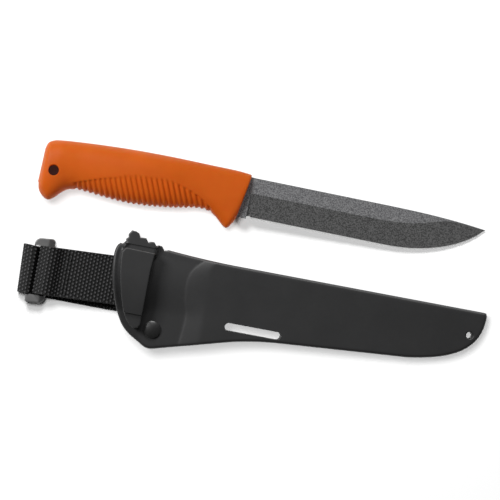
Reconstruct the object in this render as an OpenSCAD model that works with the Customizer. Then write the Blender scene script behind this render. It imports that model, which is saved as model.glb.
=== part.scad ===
// Sheath knife with its moulded belt sheath, both lying flat.
// X runs along the sheath towards its tip, Y across it towards its thumb ramp, Z up.
// The origin is under the middle of the whole set, on the surface that it lies on.

/* [Blade] */
// Length of the blade, from the handle's front edge to the tip
blade_l = 146; // [130:1:147]
// Thickness of the steel
blade_t = 4; // [3:0.5:5]
// Height of the flat-ground bevel on the straight part of the edge
bevel_h = 15.1; // [11:0.1:16]
// Half of the thickness that is left at the cutting edge
edge_half = 0.12; // [0.1:0.01:0.3]

/* [Handle] */
// Greatest thickness of the handle, at the palm swell
palm_t = 24.4; // [22:0.2:25]
// Depth of the grip grooves
groove_d = 0.9; // [0.4:0.05:1]
// Distance from one grip rib to the next
rib_pitch = 3.35; // [3.2:0.01:3.4]
// Radius of the lanyard hole
lanyard_r = 3.2; // [2.5:0.1:3.6]

/* [Sheath] */
// Half thickness of the blade part of the sheath, at its thick end
plate_half = 9; // [8.6:0.1:10]
// Half thickness of the blade part at the tip
tip_half = 7.2; // [6.8:0.1:8]
// Half thickness of the flange round the handle pocket
flange_half = 7.4; // [7:0.1:7.6]
// Half thickness of the bulge over the handle pocket, at the mouth
bulge_half = 11.8; // [11.6:0.1:12]
// Half thickness of the blade cavity
cavity_half = 3.5; // [2.8:0.1:3.8]
// Height of the slot that the belt strap passes through
strap_slot_h = 2.4; // [2.2:0.1:2.8]
// Thickness of the bar that the belt strap goes round
bar_t = 2.4; // [2:0.1:2.8]
// Length of the lashing slot, end to end
lash_l = 35; // [28:1:36]
// Width of the lashing slot
lash_w = 4.9; // [4.2:0.1:5.2]
// Radius of the tie hole at the tip
tie_r = 2.15; // [1.5:0.05:2.5]

/* [Rivet] */
// Radius of the rivet's domed head
rivet_head_r = 5.2; // [4.6:0.1:5.4]
// Height of the rivet's domed head
rivet_head_h = 2.2; // [1.6:0.1:2.6]
// Radius of the rivet's shank
rivet_shank_r = 2.4; // [2:0.1:2.8]

/* [Belt loop] */
// Width of the webbing
web_w = 30; // [28:0.5:31]
// Thickness of the webbing
web_t = 1.6; // [1.4:0.1:1.6]
// Width of each stitch line's thread
thread_w = 0.5; // [0.3:0.1:0.6]

/* [Hidden] */
$fn = 64;

// How the two halves of the set lie: each rests on its thickest place and on its tip
knife_at = [-13.6, 56.9, 8.9];
knife_yaw = -0.8;
knife_pitch = 3.05;
sheath_at = [0.1, 0, 14.55];
sheath_pitch = 3.05;

// ---- curves ----
// Smooth curve through points given in rising order of x
function seg(p, x, i = 0) = i >= len(p) - 2 || x < p[i + 1][0] ? i : seg(p, x, i + 1);
function chord(a, b) = (b[1] - a[1]) / (b[0] - a[0]);
function tangent(p, i) = chord(p[max(i - 1, 0)], p[min(i + 1, len(p) - 1)]);
function hermite(a, b, ma, mb, t) =
    (2*t*t*t - 3*t*t + 1)*a + (t*t*t - 2*t*t + t)*ma + (3*t*t - 2*t*t*t)*b + (t*t*t - t*t)*mb;
function smooth(p, x) =
    let (i = seg(p, x), h = p[i + 1][0] - p[i][0])
    hermite(p[i][1], p[i + 1][1], tangent(p, i)*h, tangent(p, i + 1)*h, (x - p[i][0])/h);
// Points on a cubic Bezier curve, without its last point
function bezier(a, b, c, d, n) =
    [for (i = [0:n - 1]) let (t = i/n, s = 1 - t) s*s*s*a + 3*s*s*t*b + 3*s*t*t*c + t*t*t*d];
// Half width of a superellipse at a share of its half height
function oval(share, power = 2.4) = pow(max(0, 1 - pow(abs(share), power)), 1/power);
// Faces of a loft through n rings of m points each, its two ends closed
function loft_faces(n, m) = concat(
    [[for (j = [0:m - 1]) j]],
    [for (i = [0:n - 2], j = [0:m - 1])
        let (a = i*m + j, b = i*m + (j + 1)%m, c = b + m, d = a + m) each [[a, d, c], [a, c, b]]],
    [[for (j = [m - 1:-1:0]) (n - 1)*m + j]]);
// Outline of a band of thickness t along a route, and smooth rounding of a route
function unit(v) = v/norm(v);
function route_dir(p, i) = unit(p[min(i + 1, len(p) - 1)] - p[max(i - 1, 0)]);
function route_side(p, i, d) = p[i] + d*[-route_dir(p, i)[1], route_dir(p, i)[0]];
function band(p, t) = concat([for (i = [0:len(p) - 1]) route_side(p, i, t/2)],
                             [for (i = [len(p) - 1:-1:0]) route_side(p, i, -t/2)]);
function catmull(p, i, t) =
    let (a = p[max(i - 1, 0)], b = p[i], c = p[i + 1], d = p[min(i + 2, len(p) - 1)])
    0.5*(2*b + (c - a)*t + (2*a - 5*b + 4*c - d)*t*t + (3*b - a - 3*c + d)*t*t*t);
function route(p, n) = concat([for (i = [0:len(p) - 2], k = [0:n - 1]) catmull(p, i, k/n)],
                              [p[len(p) - 1]]);

module on_knife() {
    translate(knife_at) rotate([0, 0, knife_yaw]) rotate([0, knife_pitch, 0]) children();
}
module on_sheath() {
    translate(sheath_at) rotate([0, sheath_pitch, 0]) children();
}

// ---- blade, in the knife's own frame: x along the blade, y up to the spine ----
spine_y = -1.4;
edge_y = -26.1;
tip_y = -4.5;
drop_x = 80;
belly_x = 88;
plunge_x = 1.2;
grind_end_x = 130;
grind_y = edge_y + bevel_h;
tip_x = blade_l;
function spine(x) = x < drop_x ? spine_y
    : spine_y + (tip_y - spine_y)*pow((x - drop_x)/(tip_x - drop_x), spine_rise_power);
// The belly runs from the straight edge up to the tip; stations follow it evenly
function belly(t) = let (s = 1 - t)
    s*s*s*[belly_x, edge_y] + 3*s*s*t*[belly_x + 27, edge_y]
    + 3*s*t*t*[tip_x - 10.5, edge_y + 9] + t*t*t*[tip_x, tip_y];
grind_end_edge_y = -16.9;
spine_rise_power = 2.6;
plunge_r = 1.5;
plunge_end_x = plunge_x + plunge_r;
// The grind line climbs from the straight part to the spine: x against its share of the climb
grind_rise = [[70, 0], [80, 0.006], [90, 0.056], [100, 0.173], [107, 0.346], [115, 0.63], [122, 0.87],
              [grind_end_x, 1]];
function grind(x) = x < plunge_end_x ? grind_y - plunge_r*pow((plunge_end_x - x)/plunge_r, 2)
    : x < grind_rise[0][0] ? grind_y
    : grind_y + (spine(grind_end_x) - grind_y)*smooth(grind_rise, x);
// Each ring: spine, grind line and edge on one side, then on the other
function blade_ring(x, ye) =
    let (ys = spine(x),
         wedge = x > grind_end_x,
         yg = wedge ? ys - 0.25*(ys - ye) : grind(x),
         full = blade_t/2,
         tall = spine(grind_end_x) - grind_end_edge_y,
         at_spine = wedge ? edge_half + (full - edge_half)*(ys - ye)/tall : full,
         at_grind = wedge ? edge_half + (at_spine - edge_half)*0.75 : full)
    [[x, ys, at_spine], [x, yg, at_grind], [x, ye, edge_half],
     [x, ye, -edge_half], [x, yg, -at_grind], [x, ys, -at_spine]];
belly_n = 22;
straight_xs = [plunge_x, plunge_x + 0.4, plunge_x + 0.9, plunge_end_x, 20, 44, 66, drop_x, belly_x];
tip_half_t = [0.06, 0.1, 0.06];
tip_ring = concat([for (k = [0:2]) [tip_x, tip_y - 0.1*k, tip_half_t[k]]],
                  [for (k = [2:-1:0]) [tip_x, tip_y - 0.1*k, -tip_half_t[k]]]);
blade_rings = concat(
    [for (x = straight_xs) blade_ring(x, edge_y)],
    [for (i = [1:belly_n - 1]) let (p = belly(i/belly_n)) blade_ring(p[0], p[1])],
    [tip_ring]);

// Hidden tang and the short unground ricasso in front of the handle
tang_holes_x = [-34, -84];
tang_hole_y = -14.5;
tang_hole_r = 3;
function tang(front_x) =
    [[front_x, spine_y], [front_x, -26.9], [-6, -26.9], [-9, -23], [-60, -22.5], [-108, -21],
     [-110, -19], [-110, -10], [-108, -8], [-60, -7], [-9, -6], [-6, spine_y]];
module tang_plate(front_x) {
    difference() {
        linear_extrude(blade_t, center = true) polygon(tang(front_x));
        for (x = tang_holes_x) translate([x, tang_hole_y, -blade_t]) cylinder(r = tang_hole_r, h = 2*blade_t);
    }
}
choil_r = 1.5;
module blade() {
    color("dimgray") on_knife() difference() {
        union() {
            tang_plate(plunge_x);
            polyhedron(points = [for (r = blade_rings) each r], faces = loft_faces(len(blade_rings), 6));
        }
        translate([plunge_x + choil_r + 0.1, edge_y - choil_r/5, -blade_t])
            cylinder(r = choil_r, h = 2*blade_t);
    }
}

// ---- handle, in the knife's own frame ----
handle_front_x = 3;
lanyard_at = [-119.6, -21.4];
handle_top = [[-127.4, -10], [-126.5, -6.3], [-124, -3.9], [-120, -2.7], [-108, -1.4], [-92, -0.2],
              [-72, 0.8], [-50, 1.2], [-28, 1.05], [-8, 0.85], [0.2, 0.1]];
handle_bottom = [[-127.4, -30], [-126.6, -33.8], [-124.5, -37], [-121.5, -39.2], [-119, -39.5],
                 [-116, -37.4], [-112.5, -33.8], [-109, -31.2], [-104.5, -30.2], [-96, -30.6],
                 [-86, -31.5], [-75, -32.1], [-64, -31.8], [-52, -30.6], [-42, -29.1], [-33, -27.2],
                 [-27, -26.5], [-21.5, -27.2], [-17, -29.4], [-12.5, -33.3], [-9.5, -34.9],
                 [-7.4, -33], [-5, -28.6], [-4.7, -27]];
handle_half = [[-127.4, 0.62], [-126.6, 0.78], [-124.5, 0.9], [-120, 0.95], [-112, 0.93], [-104, 0.9],
               [-92, 0.95], [-76, 1], [-62, 1], [-48, 0.92], [-36, 0.77], [-24, 0.68], [-12, 0.62],
               [-5, 0.6], [-2.6, 0.54]];
// The ribbed panel is bounded by an arch, drawn out longer to the rear
panel_mid_x = -57;
panel_top_y = -13.5;
panel_drop = 13.5;
panel_rear = [49, 1.5];
panel_front = [37, 2.4];
function panel_arch(x) =
    let (side = x < panel_mid_x ? panel_rear : panel_front)
    panel_top_y - panel_drop*pow(abs(x - panel_mid_x)/side[0], side[1]);
// Rings lean like the ribs in the middle and like the slanted front face at the front
handle_end_u = -2.6;
lean_at = [[-127.4, 0.02], [-120, -0.12], [-112, -0.4], [-27, -0.4], [-12, 0.08], [handle_end_u, 0.17]];
axis_y = -15;
function lean_x(u, y) = u + smooth(lean_at, u)*(y - axis_y);
function clamp_x(x, p) = min(max(x, p[0][0]), p[len(p) - 1][0]);
function edge_at(p, u, guess) =
    let (y1 = smooth(p, clamp_x(lean_x(u, guess), p)), y2 = smooth(p, clamp_x(lean_x(u, y1), p)))
    smooth(p, clamp_x(lean_x(u, y2), p));
ring_n = 26;
rib_n = 25;
rib_x0 = -111.4;
rib_rings = [for (i = [0:2*rib_n]) rib_x0 + i*rib_pitch/2];
rib_end = rib_rings[2*rib_n];
front_n = 12;
handle_us = concat([-127.4, -126.9, -126, -124.6, -122.5, -120, -117.5, -115, -113],
                   rib_rings,
                   [for (k = [1:front_n]) rib_end + (handle_end_u - rib_end)*k/front_n]);
oval_power = 0.83;
spine_side_swell = 0.08;
function groove_at(u) = let (k = round((u - rib_x0)/(rib_pitch/2)))
    u < rib_x0 - 0.1 || u > rib_end + 0.1 ? 0 : k % 2 == 1 ? groove_d : 0;
function handle_point(u, j) =
    let (a = 360*j/ring_n,
         yt = edge_at(handle_top, u, 0),
         yb = edge_at(handle_bottom, u, -31),
         w = palm_t/2*smooth(handle_half, u),
         sy = sign(cos(a))*pow(abs(cos(a)), oval_power),
         sz = sign(sin(a))*pow(abs(sin(a)), oval_power)*(1 + spine_side_swell*cos(a)),
         y = (yt + yb)/2 + (yt - yb)/2*sy,
         x = lean_x(u, y),
         g = y < panel_arch(x) ? groove_at(u)*min(1, (panel_arch(x) - y)/2) : 0,
         cut = 1 - g/w)
    [x, (yt + yb)/2 + (y - (yt + yb)/2)*(1 - g/((yt - yb)/2)), w*sz*cut];
module handle() {
    color("orangered") on_knife() difference() {
        polyhedron(points = [for (u = handle_us, j = [0:ring_n - 1]) handle_point(u, j)],
                   faces = loft_faces(len(handle_us), ring_n));
        tang_plate(handle_front_x);
        translate([lanyard_at[0], lanyard_at[1], -palm_t]) cylinder(r = lanyard_r, h = 2*palm_t);
    }
}

// ---- sheath, in its own frame: z = 0 is the joint between the two shells ----
mouth_x = -90;
sheath_end_x = 143.3;
guard_seat_x = -51;
step_x = -64;
crease_x = -39.5;
plate_full_x = -26;
rivet_at = [-56.8, -47];
tie_at = [134.9, -14.8];
lash_at = [4, -36.9];
pocket_mid_y = -18.6;
pocket_half_y = 18.6;
pocket_half_h = 9.9;
guard_half_h = 8;
bulge_half_y = 20.2;
bulge_end_x = -36;
bridge_y0 = -41.5;
bridge_y1 = -4.5;
strap_slot_z = bulge_half - 0.3;
bar_lo = strap_slot_z + strap_slot_h;
bar_hi = bar_lo + bar_t;
// Thumb ramp and its teeth, from the body's top edge to the mouth
ramp = [[-55.2, 2.3], [-57.9, 1.3], [-59.9, 3.9], [-61.8, 4.1], [-63.2, 3.1], [-65.1, 5.5], [-67, 5.2],
        [-68.5, 4.4], [-70.3, 6.9], [-72.3, 6.8], [-73.8, 6.5], [-75, 9], [-77, 9.9], [-79.4, 10.1],
        [-81.1, 7.4], [-80.8, 5.6], [-82, 4.4], [-82, 3], [-83.6, 1.1], [-85, 1.3]];
sheath_outline = concat(
    bezier([99, -35.1], [125, -31.5], [144, -24], [sheath_end_x, -1.5], 16),
    [[sheath_end_x, -1.5], [142.6, 0.2], [141.4, 0.4]],
    bezier([-14, 0.4], [-28, 0.5], [-42, 1.3], ramp[0], 8),
    ramp,
    bezier([-86.4, -0.2], [-87.6, -2.6], [-87.8, -5.5], [-87.5, -9], 4),
    bezier([-87.5, -9], [-87, -22], [-81, -40], [-75.2, -47.4], 12),
    bezier([-75.2, -47.4], [-71, -52.6], [-65.5, -54.6], [-61.5, -57.2], 6),
    bezier([-61.5, -57.2], [-59.5, -58.6], [-57, -59.2], [-53.5, -58.5], 4),
    bezier([-20, -49], [-8, -45.5], [4, -42.2], [24, -40.9], 10),
    [[24, -40.9]]);
// Thumb ramp block: the part of the body above the bridge is thick
ramp_x0 = -84.5;
ramp_x1 = -61.6;
ramp_half = 11.8;
// The strap bridge and the tongue that it ends in
bridge_left = concat(
    [[-81.3, -0.8]],
    bezier([-83.2, -3.5], [-83.6, -12], [-80.5, -27], [-76, -39], 10));
bridge_outline = concat(bridge_left,
    bezier([-76, -39], [-74, -43], [-70.5, -48.3], [-66.8, -48.2], 8),
    [[-64.6, -47.2], [-63.4, -44.8], [-63.4, -1.2]]);
// Side views of the two outer levels: x against half thickness
plate_side = [[mouth_x, 0], [mouth_x, flange_half], [crease_x, flange_half], [plate_full_x, plate_half],
              [138, tip_half], [sheath_end_x + 0.1, tip_half - 2.4], [sheath_end_x + 0.1, 0]];
bulge_side = [[mouth_x, 0], [mouth_x, bulge_half], [-66, bulge_half], [-60, 10], [-55, 9.2], [-49, 8.8],
              [-41, 8.5], [bulge_end_x, 8], [bulge_end_x, 0]];
// Tall enough and wide enough to take in the whole sheath
past_h = 30;
past_y = [-62, 12];
module side_prism(p, y0, y1) {
    translate([0, y1, 0]) rotate([90, 0, 0]) linear_extrude(y1 - y0) polygon(p);
}
// Oval cross-section extruded along x, above the joint face only
module oval_prism(x0, x1, half_h, half_y) {
    n = 20;
    pts = concat([for (i = [0:n]) let (s = 1 - 2*i/n, q = sign(s)*(1 - pow(1 - abs(s), 1.7)))
                     [pocket_mid_y + half_y*q, half_h*oval(q)]],
                 [[pocket_mid_y - half_y, -1], [pocket_mid_y + half_y, -1]]);
    translate([x0, 0, 0]) rotate([90, 0, 90]) linear_extrude(x1 - x0) polygon(pts);
}
module blade_room() {
    linear_extrude(cavity_half) polygon(concat(
        [[guard_seat_x - 1, -29.5], [38, -29.5]],
        bezier([38, -29.5], [68, -29.5], [90, -20], [99, -7], 8),
        [[99, -7], [97, -3.5], [60, -2.2], [guard_seat_x - 1, -2.2]]));
}
module lash_slot() {
    straight = lash_l - lash_w;
    translate([lash_at[0], lash_at[1], -1]) linear_extrude(past_h) {
        square([straight, lash_w], center = true);
        for (s = [-1, 1]) translate([s*straight/2, 0]) circle(r = lash_w/2);
    }
}
// Everything that the outline of the sheath is cut from
module shell_levels() {
    side_prism(plate_side, past_y[0], past_y[1]);
    intersection() {
        side_prism(bulge_side, past_y[0], past_y[1]);
        oval_prism(mouth_x, bulge_end_x, bulge_half, bulge_half_y);
    }
    linear_extrude(bar_hi) polygon(bridge_outline);
    linear_extrude(ramp_half) translate([ramp_x0, bridge_y1])
        square([ramp_x1 - ramp_x0, past_y[1] - bridge_y1]);
}
// One shell, its joint face at z = 0 and its outside up
module shell() {
    strap_slot_l = 40;
    difference() {
        intersection() {
            linear_extrude(past_h) polygon(sheath_outline);
            shell_levels();
        }
        // strap slot under the bridge, open at both sides of it
        translate([mouth_x - 5, bridge_y0, strap_slot_z])
            cube([strap_slot_l, bridge_y1 - bridge_y0, strap_slot_h]);
        // pocket for the handle's front, narrower past the step
        oval_prism(mouth_x - 5, step_x, pocket_half_h, pocket_half_y);
        oval_prism(step_x - 1, guard_seat_x, guard_half_h, pocket_half_y);
        translate([0, 0, -0.01]) blade_room();
        lash_slot();
        translate([tie_at[0], tie_at[1], -1]) cylinder(r = tie_r, h = past_h);
        translate([rivet_at[0], rivet_at[1], -1]) cylinder(r = rivet_shank_r, h = past_h);
    }
}
module front_shell() {
    color([0.2, 0.2, 0.2]) on_sheath() shell();
}
module back_shell() {
    color([0.25, 0.25, 0.25]) on_sheath() mirror([0, 0, 1]) shell();
}

// ---- rivet: a domed head and tube, and a domed cap pressed on at the back ----
dome_r = (rivet_head_r*rivet_head_r + rivet_head_h*rivet_head_h)/(2*rivet_head_h);
module dome() {
    intersection() {
        translate([0, 0, rivet_head_h - dome_r]) sphere(r = dome_r);
        cylinder(r = rivet_head_r, h = rivet_head_h + 1);
    }
}
rivet_bore_r = 1.2;
cap_pin_l = 5;
module rivet() {
    color([0.12, 0.12, 0.12]) on_sheath() translate([rivet_at[0], rivet_at[1], 0]) {
        difference() {
            union() {
                translate([0, 0, flange_half]) dome();
                translate([0, 0, -flange_half]) cylinder(r = rivet_shank_r, h = 2*flange_half + 0.5);
            }
            translate([0, 0, -flange_half - 1]) cylinder(r = rivet_bore_r, h = cap_pin_l + 1);
        }
    }
}
module rivet_cap() {
    color([0.14, 0.14, 0.14]) on_sheath() translate([rivet_at[0], rivet_at[1], -flange_half]) {
        mirror([0, 0, 1]) dome();
        cylinder(r = rivet_bore_r, h = cap_pin_l - 0.2);
    }
}

// ---- belt loop: one strip of webbing, cut where it bends over the mouth ----
web_y = -24.4;
fold_x = -90;
fold_gap = 0.1;
// Round the bar of the back shell
anchor_pts = [[fold_x + fold_gap, 0.8], [-84, 0.8], [-76, 0.8], [-68, 0.8], [-63.6, 0.85], [-61.7, 1.6],
              [-60.9, 3.1], [-61.7, 4.7], [-63.8, 5.3], [-68, 5.45], [-76, 5.8], [-82, 6.05],
              [-86, 6.15], [fold_x + fold_gap, 6.2]];
// Top run: from the mouth over the slide's right and centre bars, back under the centre bar, sewn
top_pts = [[fold_x - fold_gap, 6.2], [-96, 6.5], [-103, 6.8], [-110, 7], [-114, 7.05], [-117.5, 7.3],
           [-120, 8.3], [-122.5, 9.8], [-125.4, 10.5], [-128.2, 10.1], [-130.6, 8.8], [-132.4, 7.6],
           [-132.7, 6], [-131.8, 4.7], [-130.4, 4.4], [-128.9, 4.8], [-128, 6.4], [-126.9, 8.1],
           [-125.2, 8.6], [-123.3, 7.9], [-121, 6.3], [-118.4, 5.2], [-116, 5.1], [-113.6, 5.1]];
// Bottom run: from the mouth to the far fold, over the slide's left bar and under its centre bar
bottom_pts = [[fold_x - fold_gap, 0.8], [-100, 0.8], [-112, 0.8], [-124, 0.8], [-134, 0.82], [-139.7, 0.9],
              [-141.9, 1.7], [-142.6, 3.6], [-142, 5.6], [-140.2, 7.4], [-137.8, 8.4], [-136.1, 8.5],
              [-134.9, 7.7], [-134.5, 6.2], [-134.3, 4.3], [-133.1, 2.9], [-131, 2.7], [-127, 2.7],
              [-123, 2.7]];
web_steps = 3;
module web(pts) {
    translate([0, web_y + web_w/2, 0]) rotate([90, 0, 0])
        linear_extrude(web_w) polygon(band(route(pts, web_steps), web_t));
}
module strap_anchor() {
    color([0.1, 0.1, 0.1]) web(anchor_pts);
}
module strap_top_run() {
    color([0.12, 0.12, 0.12]) web(top_pts);
}
module strap_bottom_run() {
    color([0.1, 0.1, 0.1]) web(bottom_pts);
}
stitch_rows = [-116.4, -114.4];
stitch_n = 9;
stitch_gap = 0.9;
stitch_z = 8.15;
stitch_h = 0.3;
stitch_margin = 1.5;
module strap_stitching() {
    row_l = web_w - 2*stitch_margin;
    pitch = row_l/stitch_n;
    color([0.06, 0.06, 0.06]) for (x = stitch_rows, k = [0:stitch_n - 1])
        translate([x, web_y - row_l/2 + pitch*(k + 0.5), stitch_z])
            cube([thread_w, pitch - stitch_gap, stitch_h], center = true);
}

// ---- three-bar slide: a flat frame with two thick end rails, sloped towards the sheath ----
slide_x0 = -136.9;
slide_x1 = -124.6;
slide_y = web_y - 0.3;
slide_z0 = 5.7;
slide_h = 1.6;
slide_half_y = 20;
slide_slot_half_y = 15.7;
slide_corner = 2.5;
left_slot = [-135.8, -131.3];
right_slot = [-129.4, -126];
rail_z0 = 5;
rail_h = 3.4;
rail_top_x = -128.2;
module slide_outline() {
    for (sy = [-1, 1], x = [slide_x0 + slide_corner, slide_x1 - slide_corner])
        translate([x, sy*(slide_half_y - slide_corner)]) circle(r = slide_corner);
    translate([slide_x0, -slide_half_y + slide_corner])
        square([slide_x1 - slide_x0, 2*(slide_half_y - slide_corner)]);
    translate([slide_x0 + slide_corner, -slide_half_y])
        square([slide_x1 - slide_x0 - 2*slide_corner, 2*slide_half_y]);
}
module slide_rails() {
    rail_w = slide_half_y - slide_slot_half_y;
    intersection() {
        translate([0, 0, rail_z0]) linear_extrude(rail_h) slide_outline();
        for (y = [-slide_half_y, slide_slot_half_y])
            side_prism([[slide_x0, rail_z0], [slide_x1, rail_z0], [slide_x1, slide_z0],
                        [rail_top_x, rail_z0 + rail_h], [slide_x0, rail_z0 + rail_h]], y, y + rail_w);
    }
}
module strap_slide() {
    color([0.3, 0.3, 0.3]) translate([0, slide_y, 0]) {
        translate([0, 0, slide_z0]) linear_extrude(slide_h) difference() {
            slide_outline();
            for (s = [left_slot, right_slot])
                translate([s[0], -slide_slot_half_y]) square([s[1] - s[0], 2*slide_slot_half_y]);
        }
        slide_rails();
    }
}

blade();
handle();
front_shell();
back_shell();
rivet();
rivet_cap();
strap_anchor();
strap_top_run();
strap_bottom_run();
strap_stitching();
strap_slide();
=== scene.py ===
import math
import bmesh
import bpy
import numpy as np
from mathutils import Matrix, Vector
from mathutils.geometry import delaunay_2d_cdt


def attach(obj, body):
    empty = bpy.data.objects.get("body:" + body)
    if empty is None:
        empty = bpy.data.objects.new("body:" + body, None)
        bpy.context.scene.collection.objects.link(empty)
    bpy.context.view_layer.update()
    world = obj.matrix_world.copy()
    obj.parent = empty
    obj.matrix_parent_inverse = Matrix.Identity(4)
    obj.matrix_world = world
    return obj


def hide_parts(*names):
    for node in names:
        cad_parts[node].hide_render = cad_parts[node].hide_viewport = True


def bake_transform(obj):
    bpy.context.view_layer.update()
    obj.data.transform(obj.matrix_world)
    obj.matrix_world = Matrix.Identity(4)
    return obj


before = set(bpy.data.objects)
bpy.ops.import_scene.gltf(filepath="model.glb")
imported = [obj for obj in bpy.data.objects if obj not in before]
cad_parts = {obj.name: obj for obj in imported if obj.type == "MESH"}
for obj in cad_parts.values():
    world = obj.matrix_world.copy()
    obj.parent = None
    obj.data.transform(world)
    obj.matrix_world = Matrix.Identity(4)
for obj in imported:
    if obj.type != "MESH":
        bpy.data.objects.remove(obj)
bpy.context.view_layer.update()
scene = bpy.context.scene
MM = 0.001

# ---- camera: straight down, the picture turned about the vertical ----
VIEW_CENTRE = Vector((-0.0065, 0.0116, 0.015))
VIEW_TURN = math.radians(10.7)
VIEW_WIDTH = 0.3055
VIEW_HEIGHT = 2.0
SENSOR = 36

camera_data = bpy.data.cameras.new("camera")
camera_data.sensor_width = SENSOR
camera_data.lens = SENSOR * VIEW_HEIGHT / VIEW_WIDTH
camera_data.clip_start = 0.01
camera_data.clip_end = 20
camera = bpy.data.objects.new("camera", camera_data)
camera.location = VIEW_CENTRE + Vector((0, 0, VIEW_HEIGHT))
camera.rotation_euler = (0, 0, VIEW_TURN)
scene.collection.objects.link(camera)
scene.camera = camera

# ---- how the two halves of the set lie, as in the CAD model ----
KNIFE_PLACE = (Matrix.Translation(Vector((-13.6, 56.9, 8.9)) * MM)
               @ Matrix.Rotation(math.radians(-0.8), 4, "Z")
               @ Matrix.Rotation(math.radians(3.05), 4, "Y"))
SHEATH_PLACE = (Matrix.Translation(Vector((0.1, 0, 14.55)) * MM)
                @ Matrix.Rotation(math.radians(3.05), 4, "Y"))
IN_PLACE = Matrix.Identity(4)


# ---- curves, all in millimetres ----
def smooth(points, x):
    """Smooth curve through points given in rising order of x; x may be an array."""
    p = np.array(points, float)
    x = np.clip(np.asarray(x, float), p[0, 0], p[-1, 0])
    before = np.maximum(np.arange(len(p)) - 1, 0)
    after = np.minimum(np.arange(len(p)) + 1, len(p) - 1)
    slope = (p[after, 1] - p[before, 1]) / (p[after, 0] - p[before, 0])
    i = np.clip(np.searchsorted(p[:, 0], x, side="right") - 1, 0, len(p) - 2)
    h = p[i + 1, 0] - p[i, 0]
    t = (x - p[i, 0]) / h
    return ((2 * t**3 - 3 * t**2 + 1) * p[i, 1] + (t**3 - 2 * t**2 + t) * slope[i] * h
            + (3 * t**2 - 2 * t**3) * p[i + 1, 1] + (t**3 - t**2) * slope[i + 1] * h)


def bezier(a, b, c, d, n):
    """Points on a cubic Bezier curve, without its last point."""
    t = np.arange(n)[:, None] / n
    a, b, c, d = (np.array(v, float) for v in (a, b, c, d))
    return list((1 - t)**3 * a + 3 * (1 - t)**2 * t * b + 3 * (1 - t) * t**2 * c + t**3 * d)


def step(x, low, high):
    """0 below low, 1 above high, smooth between them."""
    t = np.clip((np.asarray(x, float) - low) / (high - low), 0, 1)
    return t * t * (3 - 2 * t)


def resample(points, spacing, closed=True):
    """The same polyline with corners kept and long stretches cut into even steps."""
    p = [np.array(q, float) for q in points]
    out = []
    for a, b in zip(p, p[1:] + p[:1] if closed else p[1:]):
        n = max(1, int(round(np.linalg.norm(b - a) / spacing)))
        out += [a + (b - a) * k / n for k in range(n)]
    return np.array(out if closed else out + [p[-1]])


def distance_to(points, line, closed=True):
    """Distance from each point to a polyline."""
    a = np.array(line, float)
    b = np.roll(a, -1, axis=0)
    if not closed:
        a, b = a[:-1], b[:-1]
    along = b - a
    length2 = np.maximum((along**2).sum(1), 1e-12)
    found = []
    for block in np.array_split(np.array(points, float), max(1, len(points) // 1500)):
        p = block[:, None, :]
        t = np.clip(((p - a) * along).sum(2) / length2, 0, 1)
        found.append(((p - a - along * t[..., None])**2).sum(2).min(1))
    return np.sqrt(np.concatenate(found))


def inside(points, outline):
    """True for each point within a closed outline."""
    p = np.array(points, float)
    a = np.array(outline, float)
    b = np.roll(a, -1, axis=0)
    x, y = p[:, :1], p[:, 1:]
    crosses = (a[:, 1] > y) != (b[:, 1] > y)
    rise = np.where(b[:, 1] == a[:, 1], 1e-9, b[:, 1] - a[:, 1])
    return (crosses & (x < a[:, 0] + (y - a[:, 1]) * (b[:, 0] - a[:, 0]) / rise)).sum(1) % 2 == 1


# ---- meshes ----
def mesh_object(name, verts, faces, materials=(), place=IN_PLACE):
    """An object from vertices in millimetres, with its faces turned outwards."""
    mesh = bpy.data.meshes.new(name)
    points = [tuple(float(c) * MM for c in v) for v in verts]
    mesh.from_pydata(points, [], [tuple(map(int, f)) for f in faces])
    mesh.transform(place)
    for material in materials:
        mesh.materials.append(material)
    obj = bpy.data.objects.new(name, mesh)
    scene.collection.objects.link(obj)
    fix = bmesh.new()
    fix.from_mesh(mesh)
    bmesh.ops.recalc_face_normals(fix, faces=fix.faces)
    fix.to_mesh(mesh)
    fix.free()
    return obj


def finish_piece(obj, body, *nodes, angle=32):
    """Smooth shading with sharp creases, a body to ride on, and the CAD nodes it stands for."""
    obj.data.shade_smooth()
    obj.data.set_sharp_from_angle(angle=math.radians(angle))
    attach(obj, body)
    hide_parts(*nodes)
    return obj


def apply_modifiers(obj):
    """Turns an object's modifiers into its mesh."""
    graph = bpy.context.evaluated_depsgraph_get()
    mesh = bpy.data.meshes.new_from_object(obj.evaluated_get(graph))
    obj.modifiers.clear()
    obj.data = mesh


def combine(obj, other, operation):
    """Cuts other from obj, or joins it on, and removes it."""
    modifier = obj.modifiers.new(operation.lower(), "BOOLEAN")
    modifier.operation = operation
    modifier.object = other
    modifier.solver = "MANIFOLD"
    bpy.context.view_layer.update()
    apply_modifiers(obj)
    bpy.data.objects.remove(other)


def cut(obj, *cutters):
    for cutter in cutters:
        combine(obj, cutter, "DIFFERENCE")


def loft(rings):
    """Vertices and faces of a closed solid through rings of equal size."""
    m = len(rings[0])
    verts = [v for ring in rings for v in ring]
    faces = [(i * m + j, i * m + (j + 1) % m, (i + 1) * m + (j + 1) % m, (i + 1) * m + j)
             for i in range(len(rings) - 1) for j in range(m)]
    faces += [tuple(range(m)), tuple(range(len(verts) - m, len(verts)))]
    return verts, faces


def prism(outline, low, high):
    """Vertices and faces of an outline in x and y, from low to high."""
    n = len(outline)
    verts = [(x, y, low) for x, y in outline] + [(x, y, high) for x, y in outline]
    faces = [tuple(range(n)), tuple(range(n, 2 * n))]
    faces += [(k, (k + 1) % n, n + (k + 1) % n, n + k) for k in range(n)]
    return verts, faces


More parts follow.
